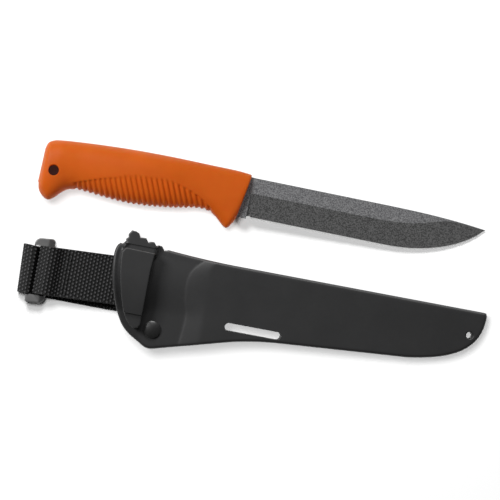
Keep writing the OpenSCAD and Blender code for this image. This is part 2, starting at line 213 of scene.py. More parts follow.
def lathe(name, profile, centre, place, materials, segments=64):
    """A solid turned about the Z axis: profile is (radius, height) from axis to axis."""
    verts = [(centre[0], centre[1], profile[0][1])]
    turns = [2 * math.pi * k / segments for k in range(segments)]
    for r, z in profile[1:-1]:
        verts += [(centre[0] + r * math.cos(t), centre[1] + r * math.sin(t), z) for t in turns]
    verts.append((centre[0], centre[1], profile[-1][1]))
    rows = len(profile) - 2
    last = len(verts) - 1
    faces = [(0, 1 + k, 1 + (k + 1) % segments) for k in range(segments)]
    for i in range(rows - 1):
        low, high = 1 + i * segments, 1 + (i + 1) * segments
        faces += [(low + k, high + k, high + (k + 1) % segments, low + (k + 1) % segments)
                  for k in range(segments)]
    top = 1 + (rows - 1) * segments
    faces += [(top + k, last, top + (k + 1) % segments) for k in range(segments)]
    return mesh_object(name, verts, faces, materials, place)


# A moulded plate's triangles: rings of points follow its rounded edge, and a triangular grid fills the rest
EDGE_SHARES = (0.03, 0.12, 0.28, 0.5, 0.75, 1.0)
EDGE_KEEP = 0.93
RIM_STEP = 0.6
LINE_STEP = 0.7
ROW_STEP = 0.866
GRID_CLEAR = 0.4
RING_CLEAR = 0.1
LINE_END_CLEAR = 0.15
MERGE_PLAN = 1e-5
MERGE_UNDER = 1e-6


def inward_normals(rim):
    """Unit normals of a closed outline that point into it."""
    tangent = np.roll(rim, -1, axis=0) - np.roll(rim, 1, axis=0)
    normal = np.stack([-tangent[:, 1], tangent[:, 0]], axis=1)
    normal /= np.linalg.norm(normal, axis=1)[:, None]
    area = 0.5 * np.sum(rim[:, 0] * np.roll(rim[:, 1], -1) - np.roll(rim[:, 0], -1) * rim[:, 1])
    return normal * (1 if area > 0 else -1)


def edge_rings(rim, normal, edge_radius):
    """Points on rings inside the rim, where the upper edge is rounded."""
    radius = edge_radius(rim)
    rings = []
    for s in EDGE_SHARES:
        ring = rim + normal * (radius * s)[:, None]
        keep = (distance_to(ring, rim) > EDGE_KEEP * radius * s) & inside(ring, rim)
        rings.append(ring[keep])
    return rings


def inner_grid(rim, edge_radius, spacing):
    """A triangular grid of points within the rim, clear of its rounded edge."""
    low, high = rim.min(0), rim.max(0)
    rows = np.arange(low[1], high[1], spacing * ROW_STEP)
    grid = np.array([(x + (k % 2) * spacing / 2, y) for k, y in enumerate(rows)
                     for x in np.arange(low[0], high[0], spacing)])
    grid = grid[inside(grid, rim)]
    return grid[distance_to(grid, rim) > edge_radius(grid) + GRID_CLEAR * spacing]


def plan_mesh(rim, normal, edge_radius, spacing, extra_lines):
    """Triangles over the plate's outline, with an edge along every extra line."""
    rings = edge_rings(rim, normal, edge_radius)
    grid = inner_grid(rim, edge_radius, spacing)
    lines = [resample(line, spacing * LINE_STEP, closed=False) for line in extra_lines]
    for line in lines:
        grid = grid[distance_to(grid, line, closed=False) > GRID_CLEAR * spacing]
        rings = [ring[distance_to(ring, line, closed=False) > RING_CLEAR * spacing] for ring in rings]
    points = list(rim)
    edges = []
    for line in lines:
        line = line[inside(line, rim) & (distance_to(line, rim) > LINE_END_CLEAR)]
        edges += [(len(points) + k, len(points) + k + 1) for k in range(len(line) - 1)]
        points += list(line)
    points += [p for ring in rings for p in ring] + list(grid)
    loop = [list(range(len(rim)))]
    return delaunay_2d_cdt([Vector(p) for p in points], edges, loop, 1, MERGE_PLAN)


def even_edge(radius):
    """An edge radius that is the same all round."""
    return lambda plan: np.full(len(plan), radius)


def underside(inset, first):
    """Faces that close the plate from below; first is the number of their first vertex."""
    n = len(inset)
    below = delaunay_2d_cdt([Vector(p) for p in inset], [], [list(range(n))], 1, MERGE_UNDER)
    if len(below[0]) != n:
        return [tuple(first + k for k in range(n))]
    back = {new: olds[0] for new, olds in enumerate(below[3])}
    return [tuple(first + back[v] for v in f) for f in below[2]]


def relief_solid(name, outline, height, edge_radius, spacing, extra_lines, material,
                 foot=0.0, chamfer=0.25):
    """A moulded plate: a closed outline, a height over each point of it, and rounded upper edges."""
    rim = resample(outline, spacing * RIM_STEP)
    normal = inward_normals(rim)
    found = plan_mesh(rim, normal, edge_radius, spacing, extra_lines)
    plan = np.array([tuple(v) for v in found[0]])
    near = distance_to(plan, rim)
    r = edge_radius(plan)
    sink = r - np.sqrt(np.maximum(r**2 - np.maximum(r - near, 0)**2, 0))
    verts = [(x, y, h) for (x, y), h in zip(plan, height(plan) - sink)]
    faces = list(found[2])
    n = len(rim)
    upper = {old: new for new, olds in enumerate(found[3]) for old in olds if old < n}
    side = len(verts)
    verts += [(x, y, foot + chamfer) for x, y in rim]
    under = len(verts)
    inset = rim + normal * chamfer
    verts += [(x, y, foot) for x, y in inset]
    for k in range(n):
        j = (k + 1) % n
        faces.append((upper[k], upper[j], side + j, side + k))
        faces.append((side + k, side + j, under + j, under + k))
    faces += underside(inset, under)
    return mesh_object(name, verts, faces, [material])


# ---- materials ----
class Paint:
    """A node material under construction, with short names for the nodes it uses."""

    def __init__(self, name, roughness, specular):
        self.material = bpy.data.materials.new(name)
        self.material.use_nodes = True
        self.tree = self.material.node_tree
        self.shader = self.tree.nodes["Principled BSDF"]
        self.shader.inputs["Roughness"].default_value = roughness
        self.shader.inputs["Specular IOR Level"].default_value = specular
        self.place = self.tree.nodes.new("ShaderNodeTexCoord").outputs["Object"]

    def node(self, kind, **settings):
        made = self.tree.nodes.new(kind)
        for key, value in settings.items():
            setattr(made, key, value)
        return made

    def link(self, source, target):
        self.tree.links.new(source, target)

    def noise(self, scale, detail, roughness=0.5, stretch=(1, 1, 1)):
        """Noise whose grains are about 1/scale metres across."""
        mapping = self.node("ShaderNodeMapping")
        mapping.inputs["Scale"].default_value = stretch
        self.link(self.place, mapping.inputs["Vector"])
        noise = self.node("ShaderNodeTexNoise")
        noise.inputs["Scale"].default_value = scale
        noise.inputs["Detail"].default_value = detail
        noise.inputs["Roughness"].default_value = roughness
        self.link(mapping.outputs["Vector"], noise.inputs["Vector"])
        return noise.outputs["Fac"]

    def ramp(self, source, stops):
        ramp = self.node("ShaderNodeValToRGB")
        elements = ramp.color_ramp.elements
        while len(elements) < len(stops):
            elements.new(0.5)
        for element, (position, colour) in zip(elements, stops):
            element.position = position
            element.color = (*colour, 1)
        self.link(source, ramp.inputs["Fac"])
        return ramp.outputs["Color"]

    def maths(self, operation, *values):
        node = self.node("ShaderNodeMath", operation=operation)
        for socket, value in zip(node.inputs, values):
            if isinstance(value, (int, float)):
                socket.default_value = value
            else:
                self.link(value, socket)
        return node.outputs["Value"]

    def bump(self, source, depth, strength):
        bump = self.node("ShaderNodeBump")
        bump.inputs["Strength"].default_value = strength
        bump.inputs["Distance"].default_value = depth
        self.link(source, bump.inputs["Height"])
        return bump.outputs["Normal"]

    def colour(self, source):
        self.link(source, self.shader.inputs["Base Color"])

    def tones(self, source, dark, light, span=(0.3, 0.7)):
        """Colour from dark to light over part of a source's range."""
        self.colour(self.ramp(source, list(zip(span, (dark, light)))))

    def normal(self, source):
        self.link(source, self.shader.inputs["Normal"])

    def roughness(self, source, low, high):
        span = self.node("ShaderNodeMapRange")
        span.inputs["To Min"].default_value = low
        span.inputs["To Max"].default_value = high
        self.link(source, span.inputs["Value"])
        self.link(span.outputs["Result"], self.shader.inputs["Roughness"])


def grey(tone):
    """A colour without a hue."""
    return (tone, tone, tone)


def grip_material():
    """Orange elastomer: a fine moulded grain and a slightly uneven colour."""
    paint = Paint("grip_orange", 0.5, 0.17)
    paint.tones(paint.noise(60, 3), (0.555, 0.1, 0.0055), (0.605, 0.115, 0.0075))
    paint.shader.inputs["Subsurface Weight"].default_value = 0.35
    paint.shader.inputs["Subsurface Radius"].default_value = (1, 0.22, 0.06)
    paint.shader.inputs["Subsurface Scale"].default_value = 0.001
    paint.normal(paint.bump(paint.noise(2600, 2), 0.00006, 0.5))
    paint.roughness(paint.noise(300, 2), 0.46, 0.6)
    return paint.material


def steel_material(name, dark, light, roughness):
    """Coated steel: a coarse speckle, as a bead-blasted and coated blade has."""
    paint = Paint(name, roughness, 0.5)
    speckle = paint.noise(1250, 2, 0.7)
    paint.tones(speckle, dark, light, (0.4, 0.6))
    paint.normal(paint.bump(speckle, 0.00008, 0.6))
    paint.shader.inputs["Metallic"].default_value = 0.25
    return paint.material


def bare_edge_glint_material():
    """The sharpened edge, where the coating is ground away; its near-white colour is partly the bare steel
    and partly a painted glint.
    """
    paint = Paint("bare_edge_glint", 0.3, 0.5)
    paint.tones(paint.noise(900, 2, 0.5, (8, 1, 1)), grey(0.85), grey(0.95))
    paint.shader.inputs["Metallic"].default_value = 0.2
    return paint.material


def polymer_material():
    """Charcoal moulded polymer with a fine eroded texture."""
    paint = Paint("sheath_polymer", 0.5, 0.5)
    paint.tones(paint.noise(45, 3), (0.021, 0.021, 0.0215), (0.026, 0.026, 0.0265))
    paint.normal(paint.bump(paint.noise(2200, 3, 0.6), 0.00006, 0.55))
    paint.roughness(paint.noise(700, 2), 0.46, 0.58)
    return paint.material


def rivet_material():
    """Smooth black moulded rivet head."""
    paint = Paint("rivet_black", 0.38, 0.6)
    paint.tones(paint.noise(200, 2), grey(0.014), grey(0.022))
    paint.normal(paint.bump(paint.noise(2500, 2), 0.00003, 0.4))
    return paint.material


def slide_material():
    """Grey moulded plastic with a satin skin."""
    paint = Paint("slide_grey", 0.42, 0.5)
    paint.tones(paint.noise(150, 3), grey(0.12), grey(0.15))
    paint.normal(paint.bump(paint.noise(1800, 2), 0.00005, 0.5))
    return paint.material


# The weave's columns of bumps follow each other along the strip, and the bumps of each column fill the gaps
# of the last. Pitches in millimetres; the floor is the lowest share of a bump's height between two bumps
WEAVE_ALONG = 2.05
WEAVE_ACROSS = 2.36
WEAVE_POWER = 1.3
WEAVE_FLOOR = 0.2


def webbing_material():
    """Plain-woven nylon: bumps in a brick pattern, laid out on UVs measured in millimetres, painted with
    shade in the gaps and light on the crowns.
    """
    paint = Paint("webbing_nylon", 0.6, 0.3)
    uv = paint.node("ShaderNodeSeparateXYZ")
    paint.link(paint.node("ShaderNodeUVMap", uv_map="weave").outputs["UV"], uv.inputs["Vector"])
    along = paint.maths("MULTIPLY", uv.outputs["X"], math.pi / WEAVE_ALONG)
    across = paint.maths("MULTIPLY", uv.outputs["Y"], 2 * math.pi / WEAVE_ACROSS)
    wave = paint.maths("COSINE", along)
    column = paint.maths("POWER", paint.maths("ABSOLUTE", wave), 2 * WEAVE_POWER)
    checks = paint.maths("MULTIPLY", paint.maths("SIGN", wave), paint.maths("COSINE", across))
    share = (1 - WEAVE_FLOOR) / 2
    bumps = paint.maths("MULTIPLY_ADD", checks, share, 1 - share)
    height = paint.maths("MULTIPLY", column, bumps)
    fibre = paint.noise(2500, 2, 0.6, (1, 5, 1))
    paint.normal(paint.bump(fibre, 0.00012, 0.6))
    # The weave's colour runs from painted shade in the gaps between bumps to a painted highlight on their
    # crowns
    shaded_gap, flank, lit_crown = grey(0.0015), (0.007, 0.007, 0.0075), (0.08, 0.08, 0.082)
    paint.colour(paint.ramp(height, [(0.15, shaded_gap), (0.5, flank), (0.95, lit_crown)]))
    return paint.material


def thread_material():
    """Twisted black thread."""
    paint = Paint("thread_black", 0.7, 0.3)
    paint.tones(paint.noise(3000, 2, 0.5, (1, 3, 1)), grey(0.008), grey(0.03))
    return paint.material


# The paper under the lanyard hole carries painted shade up to the first radius and is pale from the second,
# in metres
PAPER_TONE = grey(0.305)
HOLE_SHADE = (0.014, 0.003, 0.002)
HOLE_SHADE_R = (0.0038, 0.0044)
HOLE_SHADE_SHIFT = -0.0003


def floor_material():
    """Plain pale paper, with a small patch of painted shade that stays under the grip's lanyard hole."""
    paint = Paint("floor_white", 0.9, 0.1)
    hole = KNIFE_PLACE @ Vector((LANYARD[0] * MM, LANYARD[1] * MM, 0))
    apart = paint.node("ShaderNodeVectorMath", operation="DISTANCE")
    apart.inputs[1].default_value = (hole.x + HOLE_SHADE_SHIFT, hole.y, 0)
    on_grip = paint.node("ShaderNodeTexCoord", object=bpy.data.objects["grip"])
    paint.link(on_grip.outputs["Object"], apart.inputs[0])
    span = paint.node("ShaderNodeMapRange", interpolation_type="SMOOTHSTEP")
    for socket, value in zip(("From Min", "From Max"), HOLE_SHADE_R):
        span.inputs[socket].default_value = value
    paint.link(apart.outputs["Value"], span.inputs["Value"])
    paint.tones(span.outputs["Result"], HOLE_SHADE, PAPER_TONE, (0, 1))
    paint.normal(paint.bump(paint.noise(900, 2), 0.00002, 0.2))
    return paint.material


# ---- grip, in the knife's own frame: x along the blade, y up to the spine, z = 0 in its middle ----
# Seen from the side, its upper and lower outlines. GRIP_HALF is its half thickness as a share of PALM_HALF.
# Its rings lean: RING_LEAN is how far each one moves along the grip per millimetre of height
GRIP_TOP = [(-127.4, -10), (-126.5, -6.3), (-124, -3.9), (-120, -2.7), (-108, -1.4), (-92, -0.2),
            (-72, 0.8), (-50, 1.2), (-28, 1.05), (-8, 0.85), (0.2, 0.1)]
GRIP_BOTTOM = [(-127.4, -30), (-126.6, -33.8), (-124.5, -37), (-121.5, -39.2), (-119, -39.5),
               (-116, -37.4), (-112.5, -33.8), (-109, -31.2), (-104.5, -30.2), (-96, -30.6),
               (-86, -31.5), (-75, -32.1), (-64, -31.8), (-52, -30.6), (-42, -29.1), (-33, -27.2),
               (-27, -26.5), (-21.5, -27.2), (-17, -29.4), (-12.5, -33.3), (-9.5, -34.9),
               (-7.4, -33), (-5, -28.6), (-4.7, -27)]
GRIP_HALF = [(-127.4, 0.62), (-126.6, 0.78), (-124.5, 0.9), (-120, 0.95), (-112, 0.93), (-104, 0.9),
             (-92, 0.95), (-76, 1), (-62, 1), (-48, 0.92), (-36, 0.77), (-24, 0.68), (-12, 0.62),
             (-5, 0.6), (-2.6, 0.54)]
GRIP_END = -2.6
RING_LEAN = [(-127.4, 0.02), (-120, -0.12), (-112, -0.4), (-27, -0.4), (-12, 0.08), (GRIP_END, 0.17)]
GRIP_AXIS_Y = -15
PALM_HALF = 12.2
GRIP_POWER = 0.83
GRIP_WEDGE = 0.08
GRIP_AROUND = 144
BUTT_ROUND = 3.5
BUTT_POWER = 2.4
FRONT_ROUND = 0.9
# Leaning ribs fill a panel under an arch, whose two sides have a reach and a power each
RIB_LEAN = 0.4
RIB_FIRST = -111.4
RIB_PITCH = 3.35
RIB_COUNT = 26
RIB_END = RIB_FIRST + RIB_COUNT * RIB_PITCH
RIB_DEPTH = 1.05
RIB_LEAST = 0.12
RIB_POWER = 1.5
RIB_RUN = 0.3
RIB_STATIONS = 11
PANEL_MID = -57
PANEL_TOP = -13.5
PANEL_DROP = 13.5
PANEL_REAR = (51, 1.46)
PANEL_FRONT = (38.7, 2.35)
PANEL_FADE = 0.5
LANYARD = (-119.6, -21.4)
LANYARD_R = 3.2
LANYARD_FACE = 11.6
LANYARD_FLARE = 0.7


def lean_x(u, y):
    """Where the ring of station u is at height y."""
    return u + smooth(RING_LEAN, u) * (y - GRIP_AXIS_Y)


def edge_on(curve, u, guess):
    """Height of the outline where a leaning ring meets it."""
    y = guess
    for _ in range(3):
        y = smooth(curve, lean_x(u, y))
    return y


def rib_depth(x, y):
    """How deep the grip is cut at a place: rounded ribs inside an arched panel."""
    rear = x < PANEL_MID
    reach = np.where(rear, PANEL_REAR[0], PANEL_FRONT[0])
    power = np.where(rear, PANEL_REAR[1], PANEL_FRONT[1])
    arch = PANEL_TOP - PANEL_DROP * (np.abs(x - PANEL_MID) / reach)**power
    across = x + RIB_LEAN * (y - GRIP_AXIS_Y)
    wave = 0.5 - 0.5 * np.cos(2 * math.pi * (across - RIB_FIRST) / RIB_PITCH)
    ends = step(across, RIB_FIRST - RIB_RUN, RIB_FIRST) * (1 - step(across, RIB_END, RIB_END + RIB_RUN))
    depth = RIB_LEAST + (1 - RIB_LEAST) * wave**RIB_POWER
    return RIB_DEPTH * depth * step(arch - y, 0.0, PANEL_FADE) * ends


def grip_ring(u):
    """The grip's cross-section at a station: a squarish oval, cut by the ribs and rounded at both ends."""
    angle = np.arange(GRIP_AROUND) * 2 * math.pi / GRIP_AROUND
    top, bottom = edge_on(GRIP_TOP, u, 0), edge_on(GRIP_BOTTOM, u, -31)
    half = PALM_HALF * smooth(GRIP_HALF, u)
    rear = np.clip((u - GRIP_TOP[0][0]) / BUTT_ROUND, 0, 1)
    half = half * (1 - (1 - rear)**BUTT_POWER)**(1 / BUTT_POWER)
    front = np.clip((u - GRIP_END) / FRONT_ROUND + 1, 0, 1)
    inset = FRONT_ROUND * (1 - math.sqrt(max(0, 1 - front**2)))
    top, bottom, half = top - inset, bottom + inset, max(half - inset, 0.02)
    cy, sy = np.cos(angle), np.sin(angle)
    share = np.sign(cy) * np.abs(cy)**GRIP_POWER
    middle, reach = (top + bottom) / 2, (top - bottom) / 2
    y = middle + reach * share
    z = half * np.sign(sy) * np.abs(sy)**GRIP_POWER * (1 + GRIP_WEDGE * cy)
    x = lean_x(u, y)
    cut = rib_depth(x, y)
    y = middle + (y - middle) * (1 - cut / reach)
    z = z * (1 - cut / max(half, 1))
    return list(zip(x, y, z))


def make_grip(material):
    rear = GRIP_TOP[0][0]
    stations = np.concatenate([
        rear + BUTT_ROUND * (1 - np.cos(np.linspace(0, math.pi / 2, 14))),
        np.linspace(rear + BUTT_ROUND + 0.5, RIB_FIRST - 0.5, 24),
        np.linspace(RIB_FIRST - RIB_RUN, RIB_END + RIB_RUN, RIB_COUNT * RIB_STATIONS + 1),
        np.linspace(RIB_END + 0.9, GRIP_END - FRONT_ROUND, 26),
        GRIP_END - FRONT_ROUND + FRONT_ROUND * np.sin(np.linspace(0.2, math.pi / 2, 6))])
    verts, faces = loft([grip_ring(u) for u in stations])
    grip = mesh_object("grip", verts, faces, [material], KNIFE_PLACE)
    hole = hole_cutter("lanyard_cutter", LANYARD, LANYARD_R, LANYARD_FACE, LANYARD_FLARE, KNIFE_PLACE)
    cut(grip, hole)
    return finish_piece(grip, "knife", "handle", angle=50)


FLARE_STEPS = 6
CUT_PAST = 5


def hole_cutter(name, centre, radius, face, flare, place, segments=64):
    """A round cutter right through a plate, flared where it leaves each face at height face."""
    turns = [math.pi / 2 * k / FLARE_STEPS for k in range(FLARE_STEPS + 1)]
    upper = [(radius + flare * (1 - math.cos(t)), face - flare + flare * math.sin(t)) for t in turns]
    profile = upper + [(radius + flare, face + CUT_PAST)]
    both = [(r, -z) for r, z in reversed(profile)] + profile
    profile = [(0, both[0][1])] + both + [(0, both[-1][1])]
    return lathe(name, profile, centre, place, [], segments)


# ---- blade, in the knife's own frame ----
BLADE_L = 147.5
BLADE_HALF = 2
SPINE_Y = -1.4
SPINE_POWER = 2.6
EDGE_Y = -26.1
EDGE_HALF = 0.03
TIP_Y = -4.5
DROP_X = 80
BELLY_X = 88
BELLY_PULL = 27
TIP_PULL = (10.5, 9)
TIP_STEP = 0.02
PLUNGE_X = 1.2
PLUNGE_ROUND = 1.5
PLUNGE_DIP = 1.4
GRIND_Y = -11
GRIND_LINE = [(70, GRIND_Y), (80, -10.95), (90, -10.55), (100, -9.6), (107, -8.2), (115, -5.9),
              (122, -3.95), (130, -2.9)]
GRIND_END_X = 130
SPINE_CHAMFER = 0.3
HONED_WIDTH = 0.65
HONED_HALF = 0.34
RICASSO_Y = -26.9
BASE_OUTLINE = [(PLUNGE_X, SPINE_Y), (PLUNGE_X, RICASSO_Y), (-6, RICASSO_Y), (-9, -23), (-9, -6),
                (-6, SPINE_Y)]
CHOIL = (PLUNGE_X + 1.6, EDGE_Y - 0.3)
CHOIL_R = 1.5
BEVEL_COLUMNS = ([2, 3], [6, 7])
HONED_COLUMNS = ([3, 4], [4, 5], [5, 6])


def spine(x):
    """Height of the spine, which drops towards the tip."""
    return SPINE_Y + (TIP_Y - SPINE_Y) * (np.maximum(x - DROP_X, 0) / (BLADE_L - DROP_X))**SPINE_POWER


def belly(n):
    """The edge's curve up to the tip."""
    points = bezier((BELLY_X, EDGE_Y), (BELLY_X + BELLY_PULL, EDGE_Y),
                    (BLADE_L - TIP_PULL[0], EDGE_Y + TIP_PULL[1]), (BLADE_L, TIP_Y), n)
    return [tuple(p) for p in points[1:]]


def grind(x):
    """Height of the line where the flat ends and the bevel starts."""
    if x < PLUNGE_X + PLUNGE_ROUND:
        return GRIND_Y - PLUNGE_DIP * ((PLUNGE_X + PLUNGE_ROUND - x) / PLUNGE_ROUND)**2
    return float(smooth(GRIND_LINE, x))


def blade_ring(x, edge, end_drop):
    """Half of the ring, from the spine down one side to the edge; the other half mirrors it.

    Past the end of the grind the steel thins with its height, and every part of the ring shrinks to fit.
    """
    top = spine(x)
    tall = top - edge
    past = x > GRIND_END_X
    half = BLADE_HALF * (tall / end_drop if past else 1)
    line = top - min(SPINE_CHAMFER * 1.3, 0.2 * tall) if past else grind(x)
    honed = min(HONED_WIDTH, 0.25 * tall)
    honed_half = min(HONED_HALF, 0.5 * half)
    chamfer = min(SPINE_CHAMFER, 0.15 * tall, 0.6 * half)
    shoulder = min(line, top - chamfer - 0.01)
    return [(x, top, half - chamfer), (x, top - chamfer, half), (x, shoulder, half),
            (x, edge + honed, honed_half), (x, edge, EDGE_HALF)]


def blade_rings():
    plunge = PLUNGE_X + np.linspace(0.2, PLUNGE_ROUND, 6)
    straight = np.concatenate([[PLUNGE_X], plunge, np.linspace(6, BELLY_X, 24)])
    outline = [(x, EDGE_Y) for x in straight] + belly(46)
    end_drop = float(spine(GRIND_END_X)) - np.interp(GRIND_END_X, *np.array(outline).T)
    rings = []
    for x, edge in outline:
        side = blade_ring(x, edge, end_drop)
        rings.append(side + [(a, b, -c) for a, b, c in reversed(side)])
    tip = [(BLADE_L, TIP_Y + TIP_STEP * k, EDGE_HALF) for k in (2, 1, 0, -1, -2)]
    rings.append(tip + [(a, b, -c) for a, b, c in reversed(tip)])
    return rings


def make_blade(flat, bevel, bare_glint):
    rings = blade_rings()
    m = len(rings[0])
    blade = mesh_object("blade_steel", *loft(rings), [flat, bevel, bare_glint])
    for polygon in blade.data.polygons:
        columns = sorted({v % m for v in polygon.vertices})
        if columns in BEVEL_COLUMNS:
            polygon.material_index = 1
        elif columns in HONED_COLUMNS:
            polygon.material_index = 2
    base = mesh_object("blade_base", *prism(BASE_OUTLINE, -BLADE_HALF, BLADE_HALF), [flat])
    combine(blade, base, "UNION")
    cut(blade, hole_cutter("choil_cutter", CHOIL, CHOIL_R, BLADE_HALF, 0.1, IN_PLACE, 32))
    blade.data.transform(KNIFE_PLACE)
    return finish_piece(blade, "knife", "blade", angle=3)


# ---- sheath, in its own frame: z = 0 is the joint between the two shells ----
SHEATH_END = 143.3
FLANGE = 7.4
EDGE_R = 1.7
TEETH_SHARPER = 1.1
TEETH_EDGE_X = (-58, -54)
TEETH_EDGE_Y = (-1, 1)
MOUTH_SHARPER = 0.6
MOUTH_EDGE_X = (-82, -70)
# Part over the blade: its height falls from PLATE to TIP_HALF over PLATE_RUN
PLATE = 9
TIP_HALF = 7.2
PLATE_X = -26
PLATE_RUN = 164
# The bulge over the handle's pocket, from its crest along the sheath to nothing at its sides
POCKET_MID = -17.5
CREST = [(-95, 4.1), (-67, 4.1), (-62, 2.6), (-58, 1.9), (-54, 1.5), (-50, 1.3), (-44, 1.1), (-35, 1)]
MOUND_WIDE = 21.5
MOUND_NARROWS = 2.5
MOUND_POWER = 1.2
MOUND_STEEPENS = 0.7
MOUND_CHANGE = (-67, -57)
# The crease where the bulge ends, and the end of the slope from it to the part over the blade, as (y, x)
CREASE = [(-60, -39.6), (-51.5, -39.4), (-44.1, -38.7), (-33.7, -38.4), (-26.4, -40.3), (-17.8, -41.4),
          (-11, -40.9), (-5.6, -38.2), (-0.2, -33), (3, -28)]
CREASE_LIP = 0.12
CREASE_LIP_RUN = 0.4
CREASE_SECOND = 0.5
CREASE_SPAN = (-58, 1)
RAMP_END = [(-60, -26), (-20, -26), (-12, -26), (-5, -27), (-1, -25.5), (3, -21)]
RAMP_STRAIGHT = 0.78
RAMP_RUN = 0.89
RAMP_EASE = 2.553
# The thumb ramp's teeth and the raised block behind them
RAMP_TEETH = [(-55.2, 2.3), (-57.9, 1.3), (-59.9, 3.9), (-61.8, 4.1), (-63.2, 3.1), (-65.1, 5.5),
              (-67, 5.2), (-68.5, 4.4), (-70.3, 6.9), (-72.3, 6.8), (-73.8, 6.5), (-75, 9), (-77, 9.9),
              (-79.4, 10.1), (-81.1, 7.4), (-80.8, 5.6), (-82, 4.4), (-82, 3), (-83.6, 1.1), (-85, 1.3)]
BLOCK = 11.7
BLOCK_SLOPE = 0.055
BLOCK_LEDGE = 0.45
BLOCK_LEDGE_X = (-83.5, -61.6)
BLOCK_LEDGE_Y = (1.75, 2.0)
BLOCK_FOOT_Y = (-4, -2.2)
BLOCK_REAR_X = (-83.6, -82.4)
BLOCK_FRONT_X = (-63.6, -61.4)
MOUTH_LIP = 0.9
MOUTH_LIP_WIDTH = (1.0, 3.0)
MOUTH_LIP_END_X = (-80, -76)
MOUTH_LIP_FOOT_Y = (-40, -24)
MOUTH_LIP_TOP_Y = (1.5, 3)
# The bridge: a slot under its bar, a crowned panel on it, and a lower pad at its foot
BAR_LOW = 13.2
BAR_HIGH = 16.3
BRIDGE_SLOT_Y = (-38.5, -4.5)
BRIDGE_R = 0.55
PAD = 13.6
PAD_SLOPE = 0.06
PAD_TOP_Y = -41
PANEL_CREST_Y = -16
PANEL_FALL = (1.7, 23.5)
PANEL_FALL_ABOVE = (0.3, 15)
PANEL_FOOT_Y = -39.5
PANEL_FOOT_RUN = 0.35
# What is cut from each shell
OVAL_POWER = 0.833
POCKET_AXIS_Y = -18.6
SEAT_X = -51
POCKET_STATIONS = ((-96, 10.9, 19.1), (-88.5, 10.9, 19.1), (-87, 10.3, 18.8), (-85, 10, 18.6),
                   (-83, 9.9, 18.6), (-66, 9.9, 18.6), (-63.5, 7.9, 18.4), (-62, 7.8, 18.4),
                   (SEAT_X, 7.8, 18.4))
BLADE_ROOM_HALF = 3.5
LASH = (4, -36.9)
LASH_L = 35
LASH_W = 4.9
LASH_FACE = 9.3
LASH_FLARE = 0.8
TIE = (134.9, -14.8)
TIE_R = 2.15
TIE_FLARE = 0.6
RIVET = (-56.8, -47)
RIVET_R = 2.4


def sheath_outline():
    """The sheath from above: its tip, upper edge, thumb ramp, mouth, rivet corner and lower edge."""
    teeth = RAMP_TEETH
    return np.array(
        bezier((99, -35.1), (125, -31.5), (144, -24), (SHEATH_END, -1.5), 24)
        + [np.array(p, float) for p in ((SHEATH_END, -1.5), (142.6, 0.2), (141.4, 0.4))]
        + bezier((-14, 0.4), (-28, 0.5), (-42, 1.3), teeth[0], 10)
        + [np.array(p, float) for p in teeth]
        + bezier((-86.4, -0.2), (-87.6, -2.6), (-87.8, -5.5), (-87.5, -9), 6)
        + bezier((-87.5, -9), (-87, -22), (-81, -40), (-75.2, -47.4), 20)
        + bezier((-75.2, -47.4), (-71, -52.6), (-65.5, -54.6), (-61.5, -57.2), 8)
        + bezier((-61.5, -57.2), (-59.5, -58.6), (-57, -59.2), (-53.5, -58.5), 6)
        + bezier((-20, -49), (-8, -45.5), (4, -42.2), (24, -40.9), 14)
        + [np.array((24, -40.9))])


def bridge_outline():
    """The bridge from above: its curved side at the mouth, its foot and its straight side."""
    left = [np.array((-81.3, -0.8))] + bezier((-83.2, -3.5), (-83.6, -12), (-80.5, -27), (-76, -39), 14)
    foot = bezier((-76, -39), (-74, -43), (-70.5, -48.3), (-66.8, -48.2), 10)
    right = ((-65.4, -47.2), (-64.4, -44.8), (-64.4, -12), (-63.5, -1.2))
    return np.array(left + foot + [np.array(p) for p in right])


def mound(x, y):
    """Height of the handle pocket's bulge above the flange."""
    past = step(x, *MOUND_CHANGE)
    share = np.abs((y - POCKET_MID) / (MOUND_WIDE - MOUND_NARROWS * past))
    power = MOUND_POWER + MOUND_STEEPENS * past
    return smooth(CREST, x) * np.maximum(0, 1 - share**2)**power


def block_height(x, y):
    """Height of the thumb ramp's block, and where it stands as a share from 0 to 1."""
    block = BLOCK - BLOCK_SLOPE * (y + 1) - BLOCK_LEDGE * (1 - step(y, *BLOCK_LEDGE_Y))
    mask = step(y, *BLOCK_FOOT_Y) * step(x, *BLOCK_REAR_X) * (1 - step(x, *BLOCK_FRONT_X))
    return block, mask


def shell_height(plan):
    """The bulge up to the crease, a slope from there to the part over the blade, and the ramp's block."""
    x, y = plan[:, 0], plan[:, 1]
    crease, ramp_end = smooth(CREASE, y), smooth(RAMP_END, y)
    left = FLANGE + mound(x, y)
    at_crease = FLANGE + mound(crease, y)
    plate = PLATE + (TIP_HALF - PLATE) * (x - PLATE_X) / PLATE_RUN
    t = np.clip((x - crease) / (ramp_end - crease), 0, 1)
    rise = np.where(t < RAMP_STRAIGHT, t / RAMP_RUN, 1 - RAMP_EASE * (1 - t)**2)
    lip = CREASE_LIP * (1 - np.exp(-np.maximum(x - crease, 0) / CREASE_LIP_RUN)) * (1 - t)
    z = np.where(x < crease, left, at_crease + (plate - at_crease) * rise + lip)
    block, mask = block_height(x, y)
    return z + (np.maximum(block, z) - z) * mask


def mouth_lip(plan, outline):
    """Height of the raised lip round the mouth."""
    near = distance_to(plan, outline)
    x, y = plan[:, 0], plan[:, 1]
    where = (1 - step(x, *MOUTH_LIP_END_X)) * step(y, *MOUTH_LIP_FOOT_Y) * (1 - step(y, *MOUTH_LIP_TOP_Y))
    return MOUTH_LIP * where * (1 - step(near, *MOUTH_LIP_WIDTH))


